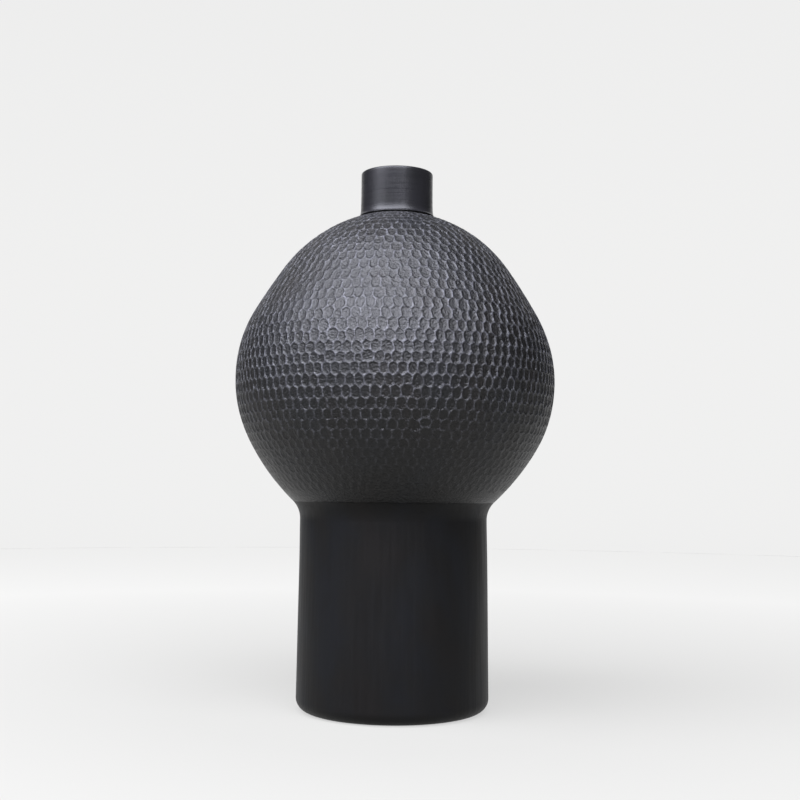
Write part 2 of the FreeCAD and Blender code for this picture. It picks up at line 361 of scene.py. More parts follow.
row_distances = sorted(rows_up() + rows_down())
row_elevations = []
for distance in row_distances:
    row_elevations.append(angle_from(middle, down_the_outline(distance)))
print(len(row_distances), "rows in all")

# %% [markdown]
# ## From marks to a net of cells
# Marks pressed side by side share the clay between them, so the ridges form a net like a honeycomb,
# and no two cells are alike.  Such a net could be drawn cell by cell, but it falls out of one neat
# trick.  The marks are put on a ball and wrapped in a convex hull, which joins neighbours by
# triangles.  Poking each triangle, turning the old edges and dissolving the old corners swaps corners
# for faces: each mark becomes one cell.

# %% Marks on a ball, hull, and the swap to cells
SMALLEST_RADIUS = 0.002
FEWEST_MARKS = 4
MARK_TURN = 0.10
MARK_LIFT = 0.07


def direction_point(elevation, turn):
    """A point on the plain ball of radius one."""
    level = math.cos(elevation)
    return Vector((level * math.cos(turn), level * math.sin(turn), math.sin(elevation)))


net = bmesh.new()
for count, distance in enumerate(row_distances):
    radius = max(down_the_outline(distance).x, SMALLEST_RADIUS)
    near_neck = max(0.0, 1 - abs(distance) / NECK_REACH)
    width = CELL_WIDTH * (1 - (1 - NECK_WIDTH_SHARE) * near_neck) * chance.uniform(0.97, 1.03)
    marks = max(FEWEST_MARKS, round(2 * math.pi * radius / width))
    first_turn = chance.random()
    reach = abs(row_elevations[count] - row_elevations[max(count - 1, 0)])
    for mark in range(marks):
        turn = 2 * math.pi * (mark + first_turn + chance.uniform(-MARK_TURN, MARK_TURN)) / marks
        lift = row_elevations[count] + chance.uniform(-MARK_LIFT, MARK_LIFT) * reach
        net.verts.new(direction_point(lift, turn))
bmesh.ops.convex_hull(net, input=list(net.verts))
old_corners = list(net.verts)
old_edges = list(net.edges)
bmesh.ops.poke(net, faces=list(net.faces), center_mode="MEAN")
bmesh.ops.rotate_edges(net, edges=old_edges, use_ccw=False)
bmesh.ops.dissolve_verts(net, verts=old_corners)
bmesh.ops.recalc_face_normals(net, faces=list(net.faces))
print(len(net.faces), "cells in the net")

# %% [markdown]
# ## Straightening the rows and putting the net on the globe
# A true honeycomb zigzags between its rows.  Here the ends of the cells are flatter than that, and
# along the seam, where the two halves of the globe were joined and smoothed over, the row line is
# nearly straight.  So each corner is drawn towards the line midway between its two rows, and then
# sent out to the wall.

# %% Flatten the row lines, then map onto the wall
ROW_ZIGZAG = 0.95
SEAM_ZIGZAG = 0.45

rising_rows = sorted(row_elevations)
seam_elevation = angle_from(middle, down_the_outline(seam_distance))


def onto_the_globe(corner):
    """Moves one corner of the net from the ball to the wall."""
    elevation = math.asin(max(-1.0, min(1.0, corner.co.normalized().z)))
    turn = math.atan2(corner.co.y, corner.co.x)
    above = bisect_left(rising_rows, elevation)
    if 0 < above < len(rising_rows):
        row_line = (rising_rows[above - 1] + rising_rows[above]) / 2
        keep = ROW_ZIGZAG
        if rising_rows[above - 1] < seam_elevation < rising_rows[above]:
            row_line = seam_elevation
            keep = SEAM_ZIGZAG
        elevation = row_line + (elevation - row_line) * keep
    point = wall_point(elevation)
    corner.co = Vector((point.x * math.cos(turn), point.x * math.sin(turn), point.y))


for corner in net.verts:
    onto_the_globe(corner)
print("rows flattened to", ROW_ZIGZAG, "and the seam's row line to", SEAM_ZIGZAG)

# %% [markdown]
# ## The crests between the cells
# Where one mark sits beside the next, the upright crest between them stands full.  Where one row
# runs into the next, the crest is lower, because the tool slid over it.  Every crest gets a middle
# point, the level ones are dipped there, and a number on each point says how light the finish paints
# it: partly how much it was rubbed, partly a painted highlight on crests that catch the lamp, less on
# level crests.  The finish reads that number later, under the name "ridge".

# %% Dip the level crests, and note each point's share of polish and painted highlight
CREST_DIP = 0.00016
DIPPED_CREST = 0.15
UPRIGHT = 0.6
RUB_AND_SHEEN_PATCHES_PER_METRE = 130
RUB_AND_SHEEN_USUAL = 0.75
RUB_AND_SHEEN_VARIES = 0.7

ridge = net.verts.layers.float.new("ridge")
bmesh.ops.bisect_edges(net, edges=list(net.edges), cuts=1, edge_percents={})
for crest in net.verts:
    # A crest's light colour is partly real polish and partly a painted highlight; level crests get much
    # less of it.
    crest[ridge] = RUB_AND_SHEEN_USUAL + RUB_AND_SHEEN_VARIES * noise.noise(crest.co * RUB_AND_SHEEN_PATCHES_PER_METRE)
    if len(crest.link_edges) > 2:
        continue
    one, other = [edge.other_vert(crest) for edge in crest.link_edges]
    run = other.co - one.co
    if abs(run.z) < UPRIGHT * run.length:
        crest[ridge] *= DIPPED_CREST
        crest.co -= CREST_DIP * (crest.co - Vector((0, 0, EQUATOR_HEIGHT))).normalized()
print(len(net.verts), "points in the net with its crests")

# %% [markdown]
# ## One net, two halves
# The globe is made of a bowl and a dome, so the net is copied twice and each copy keeps the cells on
# its own side of the seam.  Both are then cut off level: the dome at the neck's seat, the bowl at the
# smooth band above the waist.

# %% Part the net at the seam and cut the ends level
def keep_half(source, upper):
    """Copies the net and keeps the cells above the seam, or those below it."""
    half = source.copy()
    wrong_side = []
    for cell in half.faces:
        centre = cell.calc_center_median()
        radius = math.hypot(centre.x, centre.y)
        is_upper = math.atan2(centre.z - EQUATOR_HEIGHT, radius) > seam_elevation
        if is_upper != upper:
            wrong_side.append(cell)
    bmesh.ops.delete(half, geom=wrong_side, context="FACES")
    return half


def cut_level(bm, height, clear_above):
    """Cuts a shell off level at a height."""
    bmesh.ops.bisect_plane(
        bm,
        geom=list(bm.verts) + list(bm.edges) + list(bm.faces),
        dist=SAME_PLACE,
        plane_co=(0, 0, height),
        plane_no=(0, 0, 1),
        clear_outer=clear_above,
        clear_inner=not clear_above,
    )


dome_net = keep_half(net, True)
cut_level(dome_net, seat_height, True)
bowl_net = keep_half(net, False)
cut_level(bowl_net, BAND_TOP, False)
net.free()
print(len(dome_net.faces), "dome cells,", len(bowl_net.faces), "bowl cells")

# %% [markdown]
# ## Pressing the cells
# The tool is a blunt stick pushed in at a slant, so each cell is a rounded pan whose floor dips
# towards its lower end and stops at a steep little wall.  What is left between the pans is a thin
# ridge, with small three-cornered lands where three pans meet.  Three insets make it: the first
# leaves the ridge, the second drops the wall, the third rounds the floor.  Between them, each pan's
# rim is drawn towards an oval and its floor is tilted.  The pressing gets fainter below the equator
# and nearly dies out at the smooth band, and it is weaker in two places that hands have rubbed.
# The ridges' light colour weakens with the pressing, which paints shade on the lower globe, where the
# wall faces down and away from the lamps.

# %% The pressing
RIDGE_HALF = 0.00034
WALL_RUN = 0.00034
WALL_DROP = 0.00022
FLOOR_RUN = 0.0011
FLOOR_DROP = 0.00010
SLANT_DROP = 0.00022
SMALLEST_SHARE = 0.22
SMALLEST_CELL = SMALLEST_SHARE * CELL_WIDTH**2
ROUND_TOP = 0.50
ROUND_FOOT = 0.85
FULL_PRESS_HEIGHT = 0.243
FAINT_PRESS_HEIGHT = 0.185
FAINTEST = 0.22
LAST_TRACE = 0.25
PLAIN_RUB_AND_SHEEN = 0.2
RIM_RUB_AND_SHEEN = 0.75
PAN_RUB_AND_SHEEN = 0.1
RUBBED_PLACES = (
    (Vector((-0.068, -0.078, 0.300)), 0.032, 0.60),
    (Vector((-0.005, -0.102, 0.308)), 0.030, 0.40),
)


def press_strength(place):
    """How firmly a place is pressed: fainter and fainter under the bowl, and weaker where hands keep
    rubbing it.  The ridges' light colour follows it too, which paints shade on the lower globe.
    """
    share = (place.z - FAINT_PRESS_HEIGHT) / (FULL_PRESS_HEIGHT - FAINT_PRESS_HEIGHT)
    strength = FAINTEST + (1 - FAINTEST) * max(0.0, min(1.0, share))
    fading = (place.z - BAND_TOP) / (FAINT_PRESS_HEIGHT - BAND_TOP)
    strength *= LAST_TRACE + (1 - LAST_TRACE) * max(0.0, min(1.0, fading))
    for centre, spread, loss in RUBBED_PLACES:
        strength *= 1 - loss * math.exp(-(((place - centre).length / spread) ** 2))
    return strength


def cell_axes(cell):
    """The middle of a cell, with its sideways, upward and outward directions."""
    centre = cell.calc_center_median()
    outward = cell.normal.copy()
    sideways = Vector((-centre.y, centre.x, 0)).normalized()
    upward = outward.cross(sideways)
    if upward.z < 0:
        upward.negate()
    return centre, sideways, upward, outward


def round_the_rim(cell):
    """Draws a pan's rim towards an oval, most at its lower end."""
    centre, sideways, upward, outward = cell_axes(cell)
    offsets = [vert.co - centre for vert in cell.verts]
    wide = math.sqrt(2 * sum(offset.dot(sideways) ** 2 for offset in offsets) / len(offsets))
    tall = math.sqrt(2 * sum(offset.dot(upward) ** 2 for offset in offsets) / len(offsets))
    size = chance.uniform(0.94, 1.0)
    for vert, offset in zip(cell.verts, offsets):
        across = offset.dot(sideways) / wide
        along = offset.dot(upward) / tall
        angle = math.atan2(along, across)
        oval = math.cos(angle) * wide * sideways + math.sin(angle) * tall * upward
        blend = ROUND_TOP if along > 0 else ROUND_FOOT
        flat = offset - offset.dot(outward) * outward
        vert.co += size * flat.lerp(oval, blend) - flat


def sink_the_floor(cell, strength):
    """Sinks a pan's floor, most at its lower end."""
    centre, sideways, upward, outward = cell_axes(cell)
    tall = max(abs((vert.co - centre).dot(upward)) for vert in cell.verts)
    for vert in cell.verts:
        low = 0.5 - 0.5 * (vert.co - centre).dot(upward) / tall
        vert.co -= outward * (WALL_DROP + SLANT_DROP * low) * strength


def press_cells(bm, cells):
    """Presses every cell of a shell, and marks what is left standing as ridge."""
    ridge = bm.verts.layers.float["ridge"]
    pressed = set(cells)
    for vert in bm.verts:
        # The ridges' light colour fades with the pressing: below the equator this is painted shade.
        vert[ridge] *= press_strength(vert.co)
    for cell in bm.faces:
        if cell not in pressed:
            for vert in cell.verts:
                vert[ridge] *= PLAIN_RUB_AND_SHEEN
    bmesh.ops.inset_individual(bm, faces=cells, thickness=RIDGE_HALF)
    for cell in cells:
        round_the_rim(cell)
        for vert in cell.verts:
            vert[ridge] *= RIM_RUB_AND_SHEEN
    bmesh.ops.inset_individual(bm, faces=cells, thickness=WALL_RUN)
    bm.normal_update()
    for cell in cells:
        strength = press_strength(cell.calc_center_median())
        sink_the_floor(cell, strength * chance.uniform(0.7, 1.3))
        for vert in cell.verts:
            vert[ridge] *= PAN_RUB_AND_SHEEN
    bmesh.ops.inset_individual(bm, faces=cells, thickness=FLOOR_RUN, depth=-FLOOR_DROP)
    for cell in cells:
        for vert in cell.verts:
            vert[ridge] = 0
    bmesh.ops.poke(bm, faces=cells, offset=-FLOOR_DROP / 2, center_mode="MEAN")


def is_pressed(cell):
    """A cell takes the tool if it is whole enough and above the smooth band at the waist."""
    return cell.calc_area() > SMALLEST_CELL and cell.calc_center_median().z > BAND_TOP + CELL_WIDTH / 2


for shell in (dome_net, bowl_net):
    press_cells(shell, [cell for cell in shell.faces if is_pressed(cell)])
    print(len(shell.faces), "faces after pressing")

# %% [markdown]
# ## The inside of the globe
# The wall is seven millimetres thick, and a look into the mouth shows its inner side.  That side is
# plain, so it is a spun skin: the same arcs, each with its radius less the wall.  On the bowl the same
# skin turns round the rim and also makes the smooth band above the waist, where no cells are.  The
# spun skin and the pressed skin are then bridged along their open rims, which makes each half a closed
# shell.  Two faults are known and open; renders hide both.
# The faces of both halves point inwards, in spite of the call that recalculates their normals.  And
# on the dome, faces lie right across the open mouth, about 35 mm below the lip, where the bridge at
# the neck should run round it, and 192 edges there join faces that disagree.  So a shell without
# open edges isn't yet a sound one: test which way its faces look, and look along its holes.

# %% Inner skins, and the bridge between inside and outside
def inner_arc(centre, radius, start, end, parts):
    """The inner side of one arc of the wall."""
    return arc(centre, radius - WALL, start, end, parts)


def height_turn(centre, radius, height):
    """The direction in which an arc reaches a height."""
    return math.asin((height - centre.y) / radius)


BAND_GAP = 0.0003
crown_inner = CROWN_ARC - WALL
hole_turn = math.acos((mouth_radius - crown_centre.x) / crown_inner)
seam_turn = height_turn(equator_centre, EQUATOR_ARC - WALL, seam_height)
dome_inside = [Vector((mouth_radius, seat_height))]
dome_inside += inner_arc(crown_centre, CROWN_ARC, hole_turn, crown_turn, 16)
dome_inside += inner_arc(shoulder_centre, SHOULDER_ARC, crown_turn, shoulder_turn, 8)
dome_inside += inner_arc(equator_centre, EQUATOR_ARC, shoulder_turn, seam_turn, 12)

rim_turn = height_turn(bowl_centre, BOWL_ARC - WALL, bowl_rim_height)
bowl_inside = inner_arc(equator_centre, EQUATOR_ARC, seam_turn, bowl_turn, 12)
bowl_inside += inner_arc(bowl_centre, BOWL_ARC, bowl_turn, rim_turn, 12)
band_start = height_turn(bowl_centre, BOWL_ARC, bowl_rim_height)
band_end = height_turn(bowl_centre, BOWL_ARC, BAND_TOP - BAND_GAP)
bowl_inside += arc(bowl_centre, BOWL_ARC, band_start, band_end, 4)


def close_shell(bm, inside):
    """Adds the inner skin to a pressed skin and bridges the two at both rims."""
    outer_rims = [edge for edge in bm.edges if edge.is_boundary]
    lining = bmesh.new()
    spin_section(lining, without_doubles(inside), closed=False)
    lining_mesh = bpy.data.meshes.new("lining")
    lining.to_mesh(lining_mesh)
    lining.free()
    old = set(bm.edges)
    bm.from_mesh(lining_mesh)
    bpy.data.meshes.remove(lining_mesh)
    inner_rims = [edge for edge in bm.edges if edge.is_boundary and edge not in old]
    heights = [edge.verts[0].co.z for edge in outer_rims]
    halfway = (max(heights) + min(heights)) / 2
    for upper in (True, False):
        pair = []
        for edge in outer_rims + inner_rims:
            if (edge.verts[0].co.z > halfway) == upper:
                pair.append(edge)
        bmesh.ops.bridge_loops(bm, edges=pair)
    bmesh.ops.recalc_face_normals(bm, faces=list(bm.faces))
    leaks = sum(1 for edge in bm.edges if not edge.is_manifold)
    print("open or doubled edges left:", leaks)


close_shell(dome_net, dome_inside)
close_shell(bowl_net, bowl_inside)

# %% [markdown]
# ## The finishes
# Smoke-fired clay is black all the way through and reflects very little.  What shows is the polish:
# rubbed places shine like soft graphite, while the bottoms of the cells, which no polishing stone
# reaches, stay dull.  So each finish is one plain shader with a low specular level, and noises in the
# object's own metres that vary the tone, the roughness and the height.

# %% Helpers for node materials
def new_clay(name, specular, index):
    """An empty clay material: its node tree, its main shader and the position that it reads."""
    clay = bpy.data.materials.new(name)
    clay.use_nodes = True
    nodes = clay.node_tree.nodes
    shader = nodes["Principled BSDF"]
    shader.inputs["Specular IOR Level"].default_value = specular
    shader.inputs["IOR"].default_value = index
    place = nodes.new("ShaderNodeTexCoord")
    return clay, shader, place


def add_noise(clay, place, scale, stretch=(1, 1, 1), detail=3.0):
    """A noise in the piece's own metres, stretched along an axis if asked."""
    nodes = clay.node_tree.nodes
    links = clay.node_tree.links
    mapping = nodes.new("ShaderNodeMapping")
    mapping.inputs["Scale"].default_value = stretch
    texture = nodes.new("ShaderNodeTexNoise")
    texture.inputs["Scale"].default_value = scale
    texture.inputs["Detail"].default_value = detail
    links.new(place.outputs["Object"], mapping.inputs["Vector"])
    links.new(mapping.outputs["Vector"], texture.inputs["Vector"])
    return texture.outputs["Fac"]


def add_ramp(clay, source, low, high, start=0.3, end=0.7):
    """A ramp from one colour or grey to another over part of the source's range."""
    ramp = clay.node_tree.nodes.new("ShaderNodeValToRGB")
    ramp.color_ramp.elements[0].position = start
    ramp.color_ramp.elements[0].color = (*low, 1)
    ramp.color_ramp.elements[1].position = end
    ramp.color_ramp.elements[1].color = (*high, 1)
    clay.node_tree.links.new(source, ramp.inputs["Fac"])
    return ramp.outputs["Color"]


def add_range(clay, source, low, high, start=0.3, end=0.7):
    """A plain number from low to high over part of the source's range."""
    span = clay.node_tree.nodes.new("ShaderNodeMapRange")
    span.inputs["From Min"].default_value = start
    span.inputs["From Max"].default_value = end
    span.inputs["To Min"].default_value = low
    span.inputs["To Max"].default_value = high
    clay.node_tree.links.new(source, span.inputs["Value"])
    return span.outputs["Result"]


def add_mix(clay, share, first, second, blend="MIX"):
    """Mixes two colours by a share, which may be a number or a link."""
    mix = clay.node_tree.nodes.new("ShaderNodeMix")
    mix.data_type = "RGBA"
    mix.blend_type = blend
    links = clay.node_tree.links
    if isinstance(share, float):
        mix.inputs["Factor"].default_value = share
    else:
        links.new(share, mix.inputs["Factor"])
    links.new(first, mix.inputs["A"])
    links.new(second, mix.inputs["B"])
    return mix.outputs["Result"]


def add_bumps(clay, shader, layers):
    """Chains bumps, each a height source with its real depth in metres."""
    links = clay.node_tree.links
    before = None
    for source, depth in layers:
        bump = clay.node_tree.nodes.new("ShaderNodeBump")
        bump.inputs["Strength"].default_value = 1
        bump.inputs["Distance"].default_value = depth
        links.new(source, bump.inputs["Height"])
        if before:
            links.new(before, bump.inputs["Normal"])
        before = bump.outputs["Normal"]
    links.new(before, shader.inputs["Normal"])


def add_smoke(clay, place):
    """The uneven black of smoke-fired clay: a breath of brown here, of green or blue there."""
    cloud = add_noise(clay, place, 14)
    patch = add_noise(clay, place, 33, stretch=(1, 1, 0.6))
    warm = add_ramp(clay, cloud, (0.0031, 0.0027, 0.0026), (0.0043, 0.0037, 0.0034), 0.35, 0.65)
    cool = add_ramp(clay, patch, (0.0025, 0.0029, 0.0029), (0.0034, 0.0036, 0.0043), 0.35, 0.65)
    share = add_range(clay, patch, 0.0, 1.0, 0.35, 0.65)
    return add_mix(clay, share, warm, cool)

# %% [markdown]
# ### Impressed clay
# The ridge mark that the pressing left on the mesh tells the ridges from the dull pans.  The ridges
# are a little smoother, and painted lighter with a cool graphite tint: partly the polish of rubbing,
# partly a painted highlight where the crests catch the lamp.  A speck noise breaks the light colour
# into flecks, which are painted glints, and makes some ridges lighter than others.

# %% The impressed clay
def make_impressed_clay():
    """Dull pans, and ridges painted lighter: graphite polish and a painted highlight with painted glints.
    """
    clay, shader, place = new_clay("impressed_clay", specular=0.5, index=1.36)
    nodes = clay.node_tree.nodes
    links = clay.node_tree.links
    ridge = nodes.new("ShaderNodeAttribute")
    ridge.attribute_name = "ridge"
    speck = add_noise(clay, place, 650)
    crumb = add_ramp(clay, speck, (0.3, 0.3, 0.3), (1.6, 1.6, 1.6), 0.35, 0.65)
    pan = add_mix(clay, 1.0, add_smoke(clay, place), crumb, blend="MULTIPLY")
    grain = add_noise(clay, place, 2600, detail=2.0)
    # The ridges' colour: real graphite polish plus a painted highlight; the narrow ramp over the speck
    # noise paints glints.
    polish_and_highlight = add_ramp(clay, speck, (0.016, 0.016, 0.018), (0.078, 0.079, 0.089), 0.40, 0.62)
    shown = add_mix(clay, ridge.outputs["Fac"], pan, polish_and_highlight)
    links.new(shown, shader.inputs["Base Color"])
    polish = add_range(clay, ridge.outputs["Fac"], 0.36, 0.31, 0, 1)
    links.new(polish, shader.inputs["Roughness"])
    add_bumps(clay, shader, [(speck, 0.00080), (grain, 0.00008)])
    return clay


impressed_clay = make_impressed_clay()

# %% [markdown]
# ### Smooth clay
# The base was scraped and rubbed up and down, so its faint streaks run along the pot's axis.  Smoke
# leaves it not quite even: here a breath of brown, there of green or blue, all nearly black.

# %% The smooth clay
def make_smooth_clay():
    """Scraped and rubbed clay with upright streaks and smoke clouds."""
    clay, shader, place = new_clay("smooth_clay", specular=0.5, index=1.23)
    links = clay.node_tree.links
    streak = add_noise(clay, place, 420, stretch=(1, 1, 0.05))
    grain = add_noise(clay, place, 1500)
    links.new(add_smoke(clay, place), shader.inputs["Base Color"])
    links.new(add_range(clay, streak, 0.42, 0.54), shader.inputs["Roughness"])
    add_bumps(clay, shader, [(streak, 0.00006), (grain, 0.00003)])
    return clay


smooth_clay = make_smooth_clay()

# %% [markdown]
# ### Burnished clay
# The neck was turned against a wet cloth and then rubbed with a stone while it went round, so its
# marks are level rings, and it shines more than the base does.

# %% The burnished clay
def make_burnished_clay():
    """Stone-rubbed clay with faint level rings."""
    clay, shader, place = new_clay("burnished_clay", specular=0.5, index=1.30)
    links = clay.node_tree.links
    cloud = add_noise(clay, place, 45)
    rings = add_noise(clay, place, 900, stretch=(0.02, 0.02, 1))
    grain = add_noise(clay, place, 1800)
    tone = add_ramp(clay, cloud, (0.0060, 0.0060, 0.0064), (0.0090, 0.0088, 0.0100))
    links.new(tone, shader.inputs["Base Color"])
    links.new(add_range(clay, rings, 0.26, 0.38), shader.inputs["Roughness"])
    add_bumps(clay, shader, [(rings, 0.00005), (grain, 0.00002)])
    return clay


burnished_clay = make_burnished_clay()

# %% [markdown]
# ### Inner clay
# Inside, and in the joints, the clay is as the fingers left it: matte, a touch browner, and grainy.

# %% The inner clay
def make_inner_clay():
    """Unrubbed clay with a coarse grain."""
    clay, shader, place = new_clay("inner_clay", specular=0.5, index=1.33)
    links = clay.node_tree.links
    cloud = add_noise(clay, place, 60)
    finger = add_noise(clay, place, 140, stretch=(1, 1, 2.5))
    grain = add_noise(clay, place, 1300)
    tone = add_ramp(clay, cloud, (0.0080, 0.0075, 0.0070), (0.0140, 0.0128, 0.0118))
    links.new(tone, shader.inputs["Base Color"])
    links.new(add_range(clay, grain, 0.62, 0.78), shader.inputs["Roughness"])
    add_bumps(clay, shader, [(finger, 0.0006), (grain, 0.00008)])
    return clay


inner_clay = make_inner_clay()

# %% [markdown]
# ## The two halves of the globe
# Both halves are ready as closed shells.  They get the hand's unevenness and their finish.

# %% Upper dome and lower bowl
uneven(dome_net)
finish_piece(dome_net, "pressed_dome", "upper_dome", impressed_clay)
uneven(bowl_net)
finish_piece(bowl_net, "pressed_bowl", "lower_bowl", impressed_clay)

# %% [markdown]
# ## The turned pieces
# The other pieces are round and plain, so each is one closed section spun about the axis.  A section
# lists only its corners and arcs; long straight runs are divided so that the unevenness has points to
# work on.  Rounded lips and edges are arcs in the section itself, which gives them an exact radius.

# %% One maker for every spun piece
def make_turned(name, node, clay, section):
    """Spins a closed section into a solid ring or disc, and finishes it as a piece."""
    bm = bmesh.new()
    spin_section(bm, without_doubles(section), closed=section[0].x > SAME_PLACE)
    bmesh.ops.remove_doubles(bm, verts=list(bm.verts), dist=SAME_PLACE)
    bmesh.ops.recalc_face_normals(bm, faces=list(bm.faces))
    uneven(bm)
    finish_piece(bm, name, node, clay)

# %% [markdown]
# ### Floor slab and base cylinder
# The slab is a flat disc whose lower edge was rounded with a wet finger.  The cylinder stands on it
# and narrows by under two millimetres on its way up to the waist.

# %% Floor slab and base cylinder
bore_radius = waist_centre.x - WAIST_ARC - WALL


def cylinder_radius(height):
    """The base's outer radius at a height."""
    return foot_radius - (height - FOOT_ROUNDING) * math.tan(taper)


slab = line(Vector((0, 0)), Vector((foot_radius - FOOT_ROUNDING, 0)), 10)
rounding_centre = Vector((foot_radius - FOOT_ROUNDING, FOOT_ROUNDING))
slab += arc(rounding_centre, FOOT_ROUNDING, -math.pi / 2, 0, 12)
slab.append(Vector((cylinder_radius(floor_top), floor_top)))
slab += line(Vector((bore_radius, floor_top)), Vector((0, floor_top)), 10)
make_turned("floor_disc", "floor_slab", smooth_clay, slab)

cylinder = line(
    Vector((cylinder_radius(floor_top), floor_top)),
    Vector((WAIST_RADIUS, waist_height)),
    32,
)
cylinder += line(Vector((bore_radius, waist_height)), Vector((bore_radius, floor_top)), 32)
make_turned("base_wall", "base_cylinder", smooth_clay, cylinder)

# %% [markdown]
# ### Waist coil
# The short hollow curve between cylinder and globe is a coil of clay smoothed into both.  Its inner
# side runs with its outer side, one wall further in.

# %% Waist coil
def waist_side(radius):
    """One side of the waist's hollow curve, from its start up to the bowl's rim."""
    top = math.pi - math.asin((bowl_rim_height - waist_centre.y) / radius)
    return arc(waist_centre, radius, math.pi + taper, top, 12)


waist = waist_side(WAIST_ARC)
waist_inside = [point for point in waist_side(WAIST_ARC + WALL) if point.y > waist_height]
waist += reversed([Vector((bore_radius, waist_height))] + waist_inside)
make_turned("waist_ring", "waist_coil", smooth_clay, waist)

# %% [markdown]
# ### Coils inside the joints
# Where two walls meet, the potter presses a thin coil into the corner from inside.  One lies round the
# floor, one behind the seam of the globe.  Both are dull, and seen only through the mouth.

# %% Foot coil and seam coil
foot_low, foot_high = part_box("foot_coil")
FOOT_COIL_REACH = foot_high.z - foot_low.z
FOOT_COIL_ARC = 0.020
corner = Vector((bore_radius, floor_top))
coil_start = corner - Vector((FOOT_COIL_REACH, 0))
coil_end = corner + Vector((0, FOOT_COIL_REACH))
half_chord = (coil_end - coil_start).length / 2
offset = math.sqrt(FOOT_COIL_ARC**2 - half_chord**2)
fillet_centre = (coil_start + coil_end) / 2 + offset * Vector((-1, 1)).normalized()
foot_section = [corner, coil_end]
foot_section += arc(
    fillet_centre,
    FOOT_COIL_ARC,
    angle_from(fillet_centre, coil_end),
    angle_from(fillet_centre, coil_start),
    10,
)
make_turned("floor_joint_coil", "foot_coil", inner_clay, foot_section)

seam_low, seam_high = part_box("seam_coil")
SEAM_COIL_ARC = 0.016
inner_equator = EQUATOR_ARC - WALL
low_turn = height_turn(equator_centre, inner_equator, seam_low.z)
high_turn = height_turn(equator_centre, inner_equator, seam_high.z)
seam_section = arc(equator_centre, inner_equator, low_turn, high_turn, 12)
top_point = seam_section[-1]
low_point = seam_section[0]
half_chord = (top_point - low_point).length / 2
offset = math.sqrt(SEAM_COIL_ARC**2 - half_chord**2)
bulge_centre = (top_point + low_point) / 2 + Vector((offset, 0))
top_angle = angle_from(bulge_centre, top_point)
low_angle = angle_from(bulge_centre, low_point) + 2 * math.pi
seam_section += arc(bulge_centre, SEAM_COIL_ARC, top_angle, low_angle, 12)[1:-1]
make_turned("seam_joint_coil", "seam_coil", inner_clay, seam_section)

# %% [markdown]
# ### Neck coil and neck
# The neck stands on a last thin coil that is set back a little, so a dark groove shows under it.  The
# neck's foot has a small bead that catches the light from above, then a gentle flare into the
# straight wall, and the lip is rounded outside and inside.

# %% Neck coil and neck
NECK_RADIUS = 0.0271
NECK_COIL_RADIUS = 0.0276
NECK_FLARE_HEIGHT = 0.017
FLARE_LEAN = 0.2
FLARE_TURN = 8
FLARE_STEPS = 16
LIP_OUTSIDE = 0.0014
LIP_INSIDE = 0.0015
BEAD_ROUND = 0.0005
GROOVE_HOLLOW = 0.0002

groove_middle = (seat_height + neck_foot_height) / 2
neck_coil = [
    Vector((mouth_radius, seat_height)),
    Vector((NECK_COIL_RADIUS, seat_height)),
    Vector((NECK_COIL_RADIUS - GROOVE_HOLLOW, groove_middle)),
    Vector((NECK_COIL_RADIUS, neck_foot_height)),
    Vector((mouth_radius, neck_foot_height)),
]
make_turned("neck_joint_coil", "neck_coil", inner_clay, neck_coil)

flare_top = seat_height + NECK_FLARE_HEIGHT
bead_centre = Vector((NECK_FOOT_RADIUS - BEAD_ROUND, neck_foot_height + BEAD_ROUND))
neck = [Vector((mouth_radius, neck_foot_height))]
neck += arc(bead_centre, BEAD_ROUND, -math.pi / 2, math.radians(70), 8)
bead_end = neck[-1]
flare_drop = bead_end.x - NECK_RADIUS
for step in range(1, FLARE_STEPS + 1):
    share = step / FLARE_STEPS
    height = bead_end.y + (flare_top - bead_end.y) * share
    flare = FLARE_LEAN * (1 - share) + (1 - FLARE_LEAN) * (1 - share) ** FLARE_TURN
    neck.append(Vector((NECK_RADIUS + flare_drop * flare, height)))
straight_top = Vector((NECK_RADIUS, pot_height - LIP_OUTSIDE))
neck += line(Vector((NECK_RADIUS, flare_top)), straight_top, 6)
neck += arc(straight_top - Vector((LIP_OUTSIDE, 0)), LIP_OUTSIDE, 0, math.pi / 2, 8)
inner_lip = Vector((mouth_radius + LIP_INSIDE, pot_height - LIP_INSIDE))
neck += arc(inner_lip, LIP_INSIDE, math.pi / 2, math.pi, 6)
neck += line(Vector((mouth_radius, pot_height - LIP_INSIDE)), Vector((mouth_radius, neck_foot_height)), 8)
make_turned("neck", "neck_collar", burnished_clay, neck[:-1])

# %% [markdown]
# ## The studio
# The pot stands on a pale sweep: a floor that curves up into a wall all round.  A low glow in the sweep
# itself keeps the backdrop even, and the rest of its light comes from the lamps, so that the pot
# still leaves a faint shadow.  The side behind the camera is only there for other views: it isn't
# reflected, because a studio is dark behind the camera.

# %% The sweep
FLOOR_REACH = 2.2
SWEEP_ROUND = 0.8
WALL_TOP = 3.2
BACKDROP_SPAN = math.radians(80)
LIT_REACH = 0.15
GLOW_REACH = 1.0
FULL_TURN = 2 * math.pi
SWEEP_STEPS = 64


